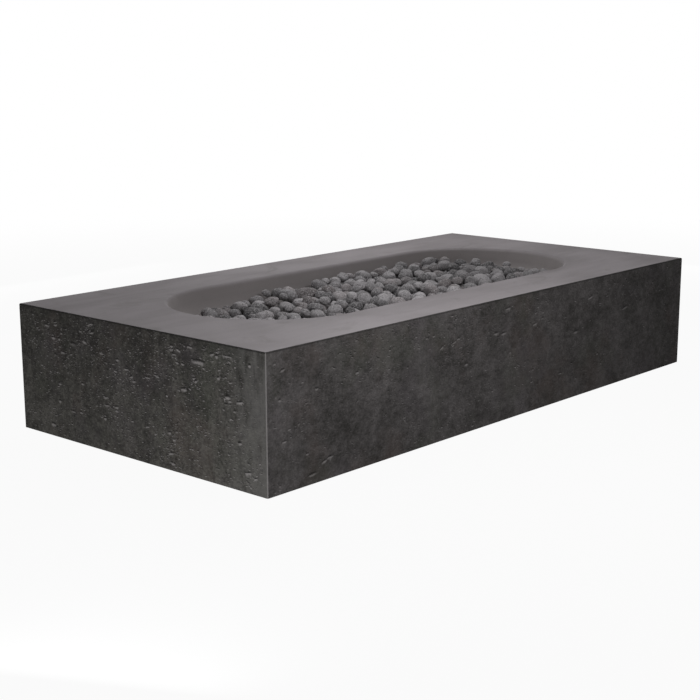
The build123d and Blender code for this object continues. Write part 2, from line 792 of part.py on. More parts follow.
def burner_height(x, y):
    # Height of the pan's floor, and of the burner, straps and screws that stand on it.
    height = np.full(x.shape, pan_floor_z)
    beside_rail = np.abs(np.abs(y) - burner_gauge / 2)
    beside_strap = np.abs(np.abs(x) - strap_spacing / 2)
    rail = rail_z + np.sqrt(np.maximum(tube_radius**2 - beside_rail**2, 0))
    on_rail = (beside_rail < tube_radius) & (np.abs(x) < burner_length / 2 + cap_flange)
    on_arm = (np.abs(x) < arm_diameter / 2) & (np.abs(y) < burner_gauge / 2)
    on_hub = np.maximum(np.abs(x), np.abs(y)) < hub_side / 2
    on_strap = (beside_rail < strap_span / 2) & (beside_strap < strap_width / 2)
    over_strap = on_strap & (beside_rail < strap_outer)
    for where, top in (
        (on_rail, rail),
        (on_arm, rail_z + arm_diameter / 2),
        (on_hub, pan_floor_z + hub_height),
        (on_strap, foot_z + screw_head_height),
        (over_strap, rail_z + strap_outer),
    ):
        height = np.where(where, np.maximum(height, top + burner_margin), height)
    return height


def inside_pan(x, y):
    # Whether a point lies over the flat of the pan's floor.
    flat_x = pan_length / 2 - pan_sheet - pan_bend
    flat_y = pan_width / 2 - pan_sheet - pan_bend
    return (np.abs(x) < flat_x) & (np.abs(y) < flat_y)


def ground_height(x, y):
    # Height of what the stones lie on, inside the pan and outside it.
    return np.where(inside_pan(x, y), burner_height(x, y), bowl_height(x, y))


def heap_limit(x):
    # Greatest height of the heap: level over its crown, falling towards both ends of the bowl.
    past_left = np.maximum(heap_level_from - x, 0)
    past_right = np.maximum(x - heap_level_to, 0)
    return block_height - heap_below_deck - heap_fall_left * past_left - heap_fall_right * past_right


def new_stone(length, draw):
    # Corner points of one stone about its middle: an uneven egg, lying near its flat side.
    order = np.arange(stone_corners) + 0.5
    polar = np.arccos(1 - 2 * order / stone_corners)
    around = pi * (1 + 5**0.5) * order
    corners = np.column_stack(
        [np.cos(around) * np.sin(polar), np.sin(around) * np.sin(polar), np.cos(polar)]
    )
    corners = Turn.random(random_state=int(draw.integers(1000000))).apply(corners)
    corners *= 1 + draw.uniform(-stone_unevenness, stone_unevenness, (stone_corners, 1))
    corners *= length / 2 * np.array([1, draw.uniform(*stone_breadth), draw.uniform(*stone_thickness)])
    tilt = draw.uniform(-stone_tilt, stone_tilt, 2)
    return Turn.from_euler("xyz", [tilt[0], tilt[1], draw.uniform(0, 360)], degrees=True).apply(corners)


def drop_onto(planes, others):
    # Height at which a stone just rests on its neighbours, each given by its bounding planes.
    rest = -np.inf
    for other in others:
        lower = np.column_stack([planes[:, :3], np.zeros(len(planes))])
        upper = np.column_stack([other[:, :2], np.zeros(len(other)), other[:, 2]])
        limits = np.concatenate([-planes[:, 3], -other[:, 3]])
        found = linprog([0, 0, 1, -1], np.vstack([lower, upper]), limits, bounds=(None, None))
        if found.status == 0:
            rest = max(rest, -found.fun)
    return rest


half_x, half_y = rim_length / 2, rim_width / 2
grid_x, grid_y = np.meshgrid(
    np.arange(-half_x, half_x, cell), np.arange(-half_y, half_y, cell), indexing="ij"
)
heights = ground_height(grid_x, grid_y)
heights = np.where(inside_pan(grid_x, grid_y), maximum_filter(heights, 3), heights)

draw = np.random.default_rng(stone_seed)
stones = []
settled = []
for turn in range(stone_count + small_stone_count):
    if turn >= stone_count:
        length = max(draw.normal(small_stone_length, small_stone_spread), small_stone_least)
    else:
        length = np.clip(draw.normal(stone_length, stone_spread), stone_least, stone_most)
        if turn % big_stone_every == big_stone_every - 1:
            length = big_stone_length
    corners = new_stone(length, draw)
    planes = ConvexHull(corners).equations
    reach = np.abs(corners).max(axis=0)
    steps_x, steps_y = (np.ceil(reach[:2] / cell)).astype(int)
    local_x, local_y = np.meshgrid(
        np.arange(-steps_x, steps_x + 1) * cell, np.arange(-steps_y, steps_y + 1) * cell, indexing="ij"
    )
    facing = planes[:, 2]
    sheets = -(
        planes[:, 0, None, None] * local_x + planes[:, 1, None, None] * local_y + planes[:, 3, None, None]
    ) / facing[:, None, None]
    under = sheets[facing < 0].max(axis=0)
    over = sheets[facing > 0].min(axis=0)
    solid = under <= over

    def patch(i, j):
        # Part of the height map that lies under the stone.
        return (slice(i - steps_x, i + steps_x + 1), slice(j - steps_y, j + steps_y + 1))

    def rest_at(i, j):
        # Height of the stone's middle when it is let down at a cell of the height map.
        spot = patch(i, j)
        if from_spine(grid_x[i, j], grid_y[i, j]) + max(reach[:2]) > half_y - bed_side_margin:
            return np.inf
        if abs(grid_x[i, j]) + reach[0] > half_x - bed_end_margin:
            return np.inf
        return (heights[spot] - under)[solid].max()

    def strain(spot):
        # How far from settled a stone is there: the higher up in the heap, the farther.
        return rest_at(*spot) - heap_limit(grid_x[spot])

    spots = zip(
        draw.integers(steps_x, heights.shape[0] - steps_x, tries),
        draw.integers(steps_y, heights.shape[1] - steps_y, tries),
    )
    best = min(spots, key=strain)
    if not np.isfinite(strain(best)):
        continue
    for stride in (6, 3, 1):
        moved = True
        while moved:
            moved = False
            for step in ((stride, 0), (-stride, 0), (0, stride), (0, -stride)):
                spot = (best[0] + step[0], best[1] + step[1])
                if strain(spot) < strain(best):
                    best, moved = spot, True
    low = rest_at(*best)
    centre = np.array([grid_x[best], grid_y[best], 0])
    placed = corners + centre
    planes[:, 3] -= planes[:, :3] @ centre
    near = [
        other
        for middle, size, top, other in settled
        if top > low - reach[2] and np.hypot(*(middle - centre[:2])) < size + max(reach)
    ]
    on_ground = (ground_height(placed[:, 0], placed[:, 1]) - placed[:, 2]).max()
    rise = max(low, drop_onto(planes, near), on_ground) + stone_gap
    placed[:, 2] += rise
    if (placed[:, 2] > heap_limit(placed[:, 0])).any():
        continue
    planes[:, 3] -= planes[:, 2] * rise
    settled.append((centre[:2], max(reach), placed[:, 2].max(), planes))
    heights[patch(*best)][solid] = np.maximum(heights[patch(*best)], over + rise)[solid]
    stones.append(ConvexPolyhedron([tuple(corner) for corner in placed]).solid())
print("stones", len(stones))
save(Compound(label="lava_stones", children=stones), "lava_stones")
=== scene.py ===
import math

import bmesh
import bpy
import numpy as np
from mathutils import Matrix, Vector, noise
from mathutils.geometry import delaunay_2d_cdt


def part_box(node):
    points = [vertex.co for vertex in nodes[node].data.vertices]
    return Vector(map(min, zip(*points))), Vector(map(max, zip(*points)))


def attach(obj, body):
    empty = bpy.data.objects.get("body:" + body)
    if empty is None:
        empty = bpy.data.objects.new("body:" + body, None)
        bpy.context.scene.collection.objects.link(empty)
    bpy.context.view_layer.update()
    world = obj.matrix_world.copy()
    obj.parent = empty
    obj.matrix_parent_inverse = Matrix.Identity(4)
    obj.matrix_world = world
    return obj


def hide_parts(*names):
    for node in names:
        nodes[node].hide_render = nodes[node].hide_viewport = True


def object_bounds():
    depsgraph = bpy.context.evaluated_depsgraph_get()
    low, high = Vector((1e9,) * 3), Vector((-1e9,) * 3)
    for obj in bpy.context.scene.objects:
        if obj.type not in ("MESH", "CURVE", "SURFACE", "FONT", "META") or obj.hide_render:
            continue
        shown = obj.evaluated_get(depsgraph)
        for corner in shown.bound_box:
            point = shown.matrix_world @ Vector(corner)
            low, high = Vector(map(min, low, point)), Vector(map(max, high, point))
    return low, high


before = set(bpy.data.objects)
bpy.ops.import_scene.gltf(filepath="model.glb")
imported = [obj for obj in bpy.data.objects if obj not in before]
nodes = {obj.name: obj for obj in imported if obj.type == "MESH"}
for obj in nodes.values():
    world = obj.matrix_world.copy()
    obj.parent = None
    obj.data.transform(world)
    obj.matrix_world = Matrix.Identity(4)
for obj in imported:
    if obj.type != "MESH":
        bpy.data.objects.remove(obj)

scene = bpy.context.scene
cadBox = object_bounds()
weldGap = 1e-6  # points nearer than this are one point
print("frame loaded,", len(nodes), "nodes")


class Wire:  # one value in a material, so that shader sums are written as sums
    def __init__(self, paint, socket):
        self.paint = paint
        self.socket = socket

    def sum(self, operation, first, second=0.0):
        return self.paint.node("ShaderNodeMath", {"operation": operation}, {0: first, 1: second})

    def __add__(self, other):
        return self.sum("ADD", self, other)

    def __radd__(self, other):
        return self.sum("ADD", other, self)

    def __sub__(self, other):
        return self.sum("SUBTRACT", self, other)

    def __rsub__(self, other):
        return self.sum("SUBTRACT", other, self)

    def __mul__(self, other):
        return self.sum("MULTIPLY", self, other)

    def __rmul__(self, other):
        return self.sum("MULTIPLY", other, self)

    def __abs__(self):
        return self.sum("ABSOLUTE", self)

    def fraction(self):
        return self.sum("FRACT", self)

    def ease(self, low, high):  # 0 below low, 1 above high, smooth between
        settings = {"interpolation_type": "SMOOTHSTEP", "clamp": True}
        inputs = {"Value": self, "From Min": low, "From Max": high}
        return self.paint.node("ShaderNodeMapRange", settings, inputs)


class Paint:  # the nodes of one material, or of the surroundings
    def __init__(self, owner):
        self.owner = owner
        owner.use_nodes = True
        self.tree = owner.node_tree
        self.tree.nodes.clear()

    def pick(self, sockets, name):
        if isinstance(name, int):
            return sockets[name]
        return next(socket for socket in sockets if socket.enabled and name in (None, socket.name))

    def node(self, kind, settings, inputs, out=None):  # adds any node
        made = self.tree.nodes.new(kind)
        for name, value in settings.items():
            setattr(made, name, value)
        for name, value in inputs.items():
            socket = self.pick(made.inputs, name)
            if isinstance(value, Wire):
                self.tree.links.new(value.socket, socket)
            else:
                socket.default_value = value
        return Wire(self, self.pick(made.outputs, out)) if made.outputs else made

    def place(self, *scale):  # position on the piece at rest, in metres times scale
        spot = self.node("ShaderNodeTexCoord", {}, {}, "Object")
        return self.node("ShaderNodeMapping", {}, {"Vector": spot, "Scale": scale})

    def part(self, spot, axis):
        return self.node("ShaderNodeSeparateXYZ", {}, {"Vector": spot}, axis)

    def axis(self, name):  # how far along x, y or z, in metres
        return self.part(self.place(1, 1, 1), name)

    def cloud(self, scale, detail=4.0, rough=0.5, warp=0.0):  # soft noise, scale in waves a metre
        inputs = {"Vector": self.place(*scale), "Scale": 1.0, "Detail": detail, "Roughness": rough}
        return self.node("ShaderNodeTexNoise", {}, {**inputs, "Distortion": warp}, "Fac")

    def cells(self, where, out="Distance"):
        return self.node("ShaderNodeTexVoronoi", {}, {"Vector": where, "Scale": 1.0}, out)

    def stored(self, name):  # value kept on the mesh's points
        return self.node("ShaderNodeAttribute", {"attribute_name": name}, {}, "Fac")

    def blend(self, factor, first, second):  # colours, first where the factor is 0
        inputs = {"Factor": factor, "A": first, "B": second}
        return self.node("ShaderNodeMix", {"data_type": "RGBA", "clamp_factor": True}, inputs)

    def relief(self, height, strength, depth):
        inputs = {"Height": height, "Strength": strength, "Distance": depth}
        return self.node("ShaderNodeBump", {}, inputs)

    def viewed(self):  # 1 where the camera sees a surface itself, by mirror or through glass
        rays = ("Is Camera Ray", "Is Glossy Ray", "Is Transmission Ray")
        seen, mirrored, through = (self.node("ShaderNodeLightPath", {}, {}, ray) for ray in rays)
        return seen + mirrored + through

    def finish(self, inputs):
        shader = self.node("ShaderNodeBsdfPrincipled", {}, inputs)
        self.node("ShaderNodeOutputMaterial", {}, {"Surface": shader})
        return self.owner


def newPaint(name):
    return Paint(bpy.data.materials.new(name))


def grey(level, red=1.06, blue=1.0):  # a near grey, with its red and blue against its green
    return (level * red, level, level * blue, 1)


def addObject(name, data):
    made = bpy.data.objects.new(name, data)
    scene.collection.objects.link(made)
    return made


# Camera, from the block's corners in the photograph
cameraSet = {
    "place": (-3.2389, -2.7788, 1.06535), "azimuth": 48.07, "elevation": 12.32, "roll": -0.17,
    "lens": 71.77,
}


def makeCamera(wish):
    turn, drop, roll = (math.radians(wish[name]) for name in ("azimuth", "elevation", "roll"))
    level = Vector((math.sin(turn), math.cos(turn), 0))
    ahead = math.cos(drop) * level - math.sin(drop) * Vector((0, 0, 1))
    right = ahead.cross(Vector((0, 0, 1))).normalized()
    up = right.cross(ahead)
    tilted = math.cos(roll) * right + math.sin(roll) * up
    upright = math.cos(roll) * up - math.sin(roll) * right
    camera = addObject("camera", bpy.data.cameras.new("camera"))
    camera.data.lens = wish["lens"]
    facing = Matrix((tilted, upright, -ahead)).transposed().to_4x4()
    camera.matrix_world = Matrix.Translation(wish["place"]) @ facing
    scene.camera = camera


makeCamera(cameraSet)

# Studio: pale floor that turns white far away, white surroundings and soft lamps
studioSet = {
    "floorSize": 60.0, "floorDrop": 0.0004, "floorTone": 0.2, "nearWhite": 0.95,
    "fadeFrom": 1.6, "fadeTo": 5.0, "footInset": 0.012, "worldLevel": 0.345,
    "lamps": {
        "front": {
            "place": (-0.38, -1.1, 1.2), "aim": (-0.38, -1.1, 0.0), "size": (0.5, 0.5), "power": 13.6,
            "shine": True,
        },
        "back": {
            "place": (0.65, 1.0, 1.7), "aim": (0.65, 1.0, 0.0), "size": (0.6, 0.6), "power": 17.3,
            "shine": True,
        },
        "left": {
            "place": (-4.0, 0.2, 0.45), "aim": (-1.0, 0.0, 0.2), "size": (1.2, 0.8), "power": 20.0,
            "shine": True,
        },
        "corner": {
            "place": (-1.9, -0.95, 0.15), "aim": (-1.0, -0.45, 0.1), "size": (0.5, 0.2), "power": 7.5,
            "shine": True,
        },
        "rear": {
            "place": (0.2, 2.6, 0.2), "aim": (0.2, 0.5, 0.2), "size": (2.2, 0.3), "power": 15.0,
            "shine": False,
        },
        "right": {
            "place": (3.0, 0.3, 0.2), "aim": (1.0, 0.1, 0.2), "size": (1.0, 0.3), "power": 9.0,
            "shine": False,
        },
    },
}


def makeFloor(wish):
    half = wish["floorSize"] / 2
    corners = [(-half, -half), (half, -half), (half, half), (-half, half)]
    sheet = bpy.data.meshes.new("floor")
    sheet.from_pydata([(x, y, -wish["floorDrop"]) for x, y in corners], [], [(0, 1, 2, 3)])
    addObject("floor", sheet)
    paint = newPaint("paleFloor")
    x, y = paint.axis("X"), paint.axis("Y")
    away = (x * x + y * y).ease(wish["fadeFrom"] ** 2, wish["fadeTo"] ** 2)
    matt = paint.node("ShaderNodeBsdfDiffuse", {}, {"Color": grey(wish["floorTone"], 1.0)})
    white = paint.node("ShaderNodeEmission", {}, {"Strength": 1.0})
    outsideX, outsideY = (
        abs(at).ease(reach - 2 * wish["footInset"], reach - wish["footInset"])
        for at, reach in ((x, cadBox[1].x), (y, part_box("concrete_body")[1].y))
    )
    uncovered = 1 - (1 - outsideX) * (1 - outsideY)  # 0 on the dark floor under the block
    share = paint.viewed() * uncovered * (wish["nearWhite"] + (1 - wish["nearWhite"]) * away)
    both = paint.node("ShaderNodeMixShader", {}, {0: share, 1: matt, 2: white})
    paint.node("ShaderNodeOutputMaterial", {}, {"Surface": both})
    sheet.materials.append(paint.owner)


def makeStudio(wish):
    makeFloor(wish)
    scene.world = bpy.data.worlds.new("surroundings")
    sky = Paint(scene.world)
    level = wish["worldLevel"] + sky.viewed() * (1 - wish["worldLevel"])
    glow = sky.node("ShaderNodeBackground", {}, {"Color": (1, 1, 1, 1), "Strength": level})
    sky.node("ShaderNodeOutputWorld", {}, {"Surface": glow})
    for name, lampWish in wish["lamps"].items():
        lamp = bpy.data.lights.new(name, "AREA")
        lamp.shape = "RECTANGLE"
        lamp.size, lamp.size_y = lampWish["size"]
        lamp.energy = lampWish["power"]
        light = addObject(name, lamp)
        light.location = lampWish["place"]
        way = Vector(lampWish["aim"]) - Vector(lampWish["place"])
        light.rotation_euler = way.to_track_quat("-Z", "Y").to_euler()
        light.visible_camera = False
        light.visible_glossy = lampWish["shine"]  # bare metal shows the white room, not the rear lamps
    scene.view_settings.view_transform = "Standard"


makeStudio(studioSet)
print("camera and studio set")

# Concrete outside. The end walls are the rougher ones: each noise weighs more there, by its endExtra.
sideSet = {
    "dark": grey(0.020, 1.05, 0.93), "pale": grey(0.094, 1.04, 0.91),
    "flankLitPale": grey(0.121, 1.08, 1.01), "band": grey(0.092, 1.02, 0.97),
    # These three colours paint light and shade: a highlight on the pits' lower lips, shade under their
    # upper lips and below the deck's edge, and a highlight on the rounded vertical corners
    "paintedHighlight": grey(0.25), "hollow": grey(0.008), "arris": grey(0.15),
    "noises": {
        "clouds": {"scale": (8, 8, 7), "rough": 0.55, "warp": 0.5},
        "streaks": {"scale": (44, 44, 11), "detail": 5.0, "rough": 0.55, "warp": 0.3},
        "mottle": {"scale": (46, 46, 60), "detail": 6.0, "rough": 0.66},
        "fleck": {"scale": (150, 150, 180), "rough": 0.7},
        "grain": {"scale": (260, 260, 330), "detail": 3.0, "rough": 0.6},
        "bare": {"scale": (9, 9, 13), "detail": 3.0},
    },
    "flankShare": {"clouds": 0.17, "streaks": 0.02, "mottle": 0.17, "fleck": 0.16},
    "endExtra": {"clouds": 0.0, "streaks": 0.1, "mottle": 0.06, "fleck": 0.17},
    "splash": 0.07, "toneMiddle": 0.49, "toneEase": (0.4, 0.64),
    "tints": (
        {"colour": (0.074, 0.056, 0.050, 1), "scale": (5.0, 5.0, 4.4)},  # rust
        {"colour": (0.054, 0.058, 0.046, 1), "scale": (6.5, 6.5, 5.1)},  # moss
        {"colour": (0.062, 0.055, 0.061, 1), "scale": (7.3, 7.3, 6.0)},  # plum
    ),
    "tintRough": 0.6, "tintEase": (0.5, 0.7), "tintShare": 0.28,
    "bandWide": 0.20, "bandEase": (0.25, 0.6), "bandShare": 0.55, "bandClear": 0.7,
    "bareEase": (0.36, 0.56), "flankBare": 0.3,
    "pits": ({"scale": (70, 70, 130), "strength": 1.0}, {"scale": (150, 150, 260), "strength": 0.75}),
    "pitEase": (0.14, 0.36), "upperLip": (-0.08, 0.12), "lowerLip": (-0.1, 0.03),
    "glintEase": (0.3, 0.75), "lipShadeShare": 0.85, "lipHighlightShare": 0.8, "gloomShare": 0.85, "glowShare": 0.9,
    "edge": 0.0032, "arrisShare": 0.85, "topShadowLine": 0.005, "topShadowShare": 0.6,
    "rough": 0.85, "toneGloss": 0.12, "arrisGloss": 0.15, "shine": 0.06,
    "mottleRise": 0.5, "grainRise": 0.25, "pitDrop": 0.9, "bump": (0.6, 0.0025),
}


def pittedSide(wish, high):
    paint = newPaint("pittedSide")
    noises = {name: paint.cloud(**look) for name, look in wish["noises"].items()}
    x, y, z = (paint.axis(name) for name in "XYZ")
    ends = abs(x).ease(high.x - wish["edge"], high.x - wish["edge"] / 2)
    flanks = abs(y).ease(high.y - wish["edge"], high.y - wish["edge"] / 2)
    # Rain throws pale dust on the foot of the end walls
    tone = ends * (0.5 - z.ease(0.0, high.z)) * wish["splash"]
    for name, share in wish["flankShare"].items():
        tone = tone + (noises[name] - 0.5) * (ends * wish["endExtra"][name] + share)
    tone = (tone + wish["toneMiddle"]).ease(*wish["toneEase"])
    # The front and back walls take a paler colour than the end walls: painted light, for the stronger
    # light falling on them
    colour = paint.blend(tone, wish["dark"], paint.blend(ends, wish["flankLitPale"], wish["pale"]))
    for tint in wish["tints"]:
        spread = paint.cloud(tint["scale"], rough=wish["tintRough"]).ease(*wish["tintEase"])
        colour = paint.blend(spread * wish["tintShare"], colour, tint["colour"])
    band = ends * (0 - y).ease(high.y - wish["bandWide"], high.y)  # paler beside the near corner
    washed = band * noises["streaks"].ease(*wish["bandEase"])
    colour = paint.blend(washed * wish["bandShare"], colour, wish["band"])
    bare = noises["bare"].ease(*wish["bareEase"]) * (1 - band * wish["bandClear"])
    bare = bare * (ends * (1 - wish["flankBare"]) + wish["flankBare"])
    pits = 0.0
    for pit in wish["pits"]:  # painted shade under its upper lip, and some painted highlight on the lower one
        where = paint.place(*pit["scale"])
        above = paint.part(where, "Z") - paint.part(paint.cells(where, "Position"), "Z")
        core = (1 - paint.cells(where).ease(*wish["pitEase"])) * bare * pit["strength"]
        glint = paint.cells(where, "Color").ease(*wish["glintEase"])
        underLip = core * above.ease(*wish["upperLip"])
        colour = paint.blend(underLip * wish["lipShadeShare"], colour, wish["hollow"])
        onLip = core * (1 - above.ease(*wish["lowerLip"])) * glint
        colour = paint.blend(onLip * wish["lipHighlightShare"], colour, wish["paintedHighlight"])
        pits = pits + core
    # Painted shade under the mesh dents' upper lips and painted highlight on their lower lips, kept on
    # the mesh's points
    colour = paint.blend(paint.stored("gloom") * wish["gloomShare"], colour, wish["hollow"])
    colour = paint.blend(paint.stored("glow") * wish["glowShare"], colour, wish["paintedHighlight"])
    # Painted highlight along the rounded vertical corners where the walls meet
    arrisHighlight = ends * flanks
    colour = paint.blend(arrisHighlight * wish["arrisShare"], colour, wish["arris"])
    # Painted shadow: a thin dark line along the top of the walls, under the deck's rounded edge
    upper = z.ease(high.z - wish["topShadowLine"], high.z - wish["topShadowLine"] / 2)
    colour = paint.blend(upper * (1 - arrisHighlight) * wish["topShadowShare"], colour, wish["hollow"])
    height = noises["mottle"] * wish["mottleRise"] + noises["grain"] * wish["grainRise"]
    height = height - pits * wish["pitDrop"]
    inputs = {
        "Base Color": colour, "Normal": paint.relief(height, *wish["bump"]),
        "Specular IOR Level": wish["shine"],
        "Roughness": wish["rough"] - tone * wish["toneGloss"] - arrisHighlight * wish["arrisGloss"],
    }
    return paint.finish(inputs)


deckSet = {
    # The deck's colours are much paler than the walls': partly the smooth top's own tone, partly
    # painted top light and sheen
    "low": grey(0.145, 1.09, 1.03), "high": grey(0.182, 1.09, 1.04), "stain": grey(0.130, 1.06, 0.98),
    "pin": grey(0.06), "bowl": grey(0.180, 1.09, 0.97),
    "driftAndSheen": {"scale": (2.2, 3.6, 3.6), "warp": 0.7}, "driftAndSheenShare": 0.66,
    "trowel": {"scale": (5, 26, 26), "rough": 0.55, "warp": 0.4}, "trowelShare": 0.22,
    "fine": {"scale": (150, 150, 150), "rough": 0.6}, "fineShare": 0.12, "toneEase": (0.34, 0.66),
    "patch": {"scale": (7, 11, 11), "detail": 5.0, "rough": 0.6, "warp": 1.2},
    "patchEase": (0.54, 0.74), "patchShare": 0.4, "lip": 0.012, "bowlShare": 0.6,
    "pinScale": (95, 95, 95), "pinEase": (0.05, 0.1), "pinShare": 0.6, "rough": 0.74,
    "roughSpan": 0.08, "shine": 0.08, "rise": 0.3, "pinDrop": 0.6, "bump": (0.16, 0.0015),
}


def litSmoothDeck(wish, high):
    paint = newPaint("litSmoothDeck")
    names = ("driftAndSheen", "trowel", "fine", "patch")
    driftAndSheen, trowel, fine, patch = (paint.cloud(**wish[name]) for name in names)
    # The broad drift is partly the deck's own tone and partly painted sheen, lighter and darker across
    # the deck
    tone = driftAndSheen * wish["driftAndSheenShare"] + trowel * wish["trowelShare"] + fine * wish["fineShare"]
    tone = tone.ease(*wish["toneEase"])
    colour = paint.blend(tone, wish["low"], wish["high"])
    patch = patch.ease(*wish["patchEase"])
    colour = paint.blend(patch * wish["patchShare"], colour, wish["stain"])
    below = 1 - paint.axis("Z").ease(high.z - wish["lip"], high.z)
    colour = paint.blend(below * wish["bowlShare"], colour, wish["bowl"])
    # Painted shade in the deck's pinholes
    pin = 1 - paint.cells(paint.place(*wish["pinScale"])).ease(*wish["pinEase"])
    colour = paint.blend(pin * wish["pinShare"], colour, wish["pin"])
    height = fine * wish["rise"] + trowel * wish["rise"] - pin * wish["pinDrop"]
    inputs = {
        "Base Color": colour, "Normal": paint.relief(height, *wish["bump"]),
        "Specular IOR Level": wish["shine"],
        "Roughness": wish["rough"] + patch * wish["roughSpan"] - tone * wish["roughSpan"],
    }
    return paint.finish(inputs)


insideSet = {
    "low": grey(0.15), "high": grey(0.25), "fibre": grey(0.32),
    "lumps": {"scale": (26, 26, 26), "detail": 6.0, "rough": 0.65, "warp": 0.5},
    "lumpEase": (0.35, 0.65), "strandScale": (60, 220, 90), "strandEase": (0.08, 0.2),
    "strandShare": 0.25, "rough": 0.9, "strandGloss": 0.1, "strandRise": 0.3, "bump": (0.8, 0.004),
}


def sprayedInside(wish):  # rough back of the casting, with fibre showing
    paint = newPaint("sprayedInside")
    lumps = paint.cloud(**wish["lumps"])
    strands = 1 - paint.cells(paint.place(*wish["strandScale"])).ease(*wish["strandEase"])
    colour = paint.blend(lumps.ease(*wish["lumpEase"]), wish["low"], wish["high"])
    colour = paint.blend(strands * wish["strandShare"], colour, wish["fibre"])
    inputs = {
        "Base Color": colour, "Roughness": wish["rough"] - strands * wish["strandGloss"],
        "Normal": paint.relief(lumps + strands * wish["strandRise"], *wish["bump"]),
    }
    return paint.finish(inputs)
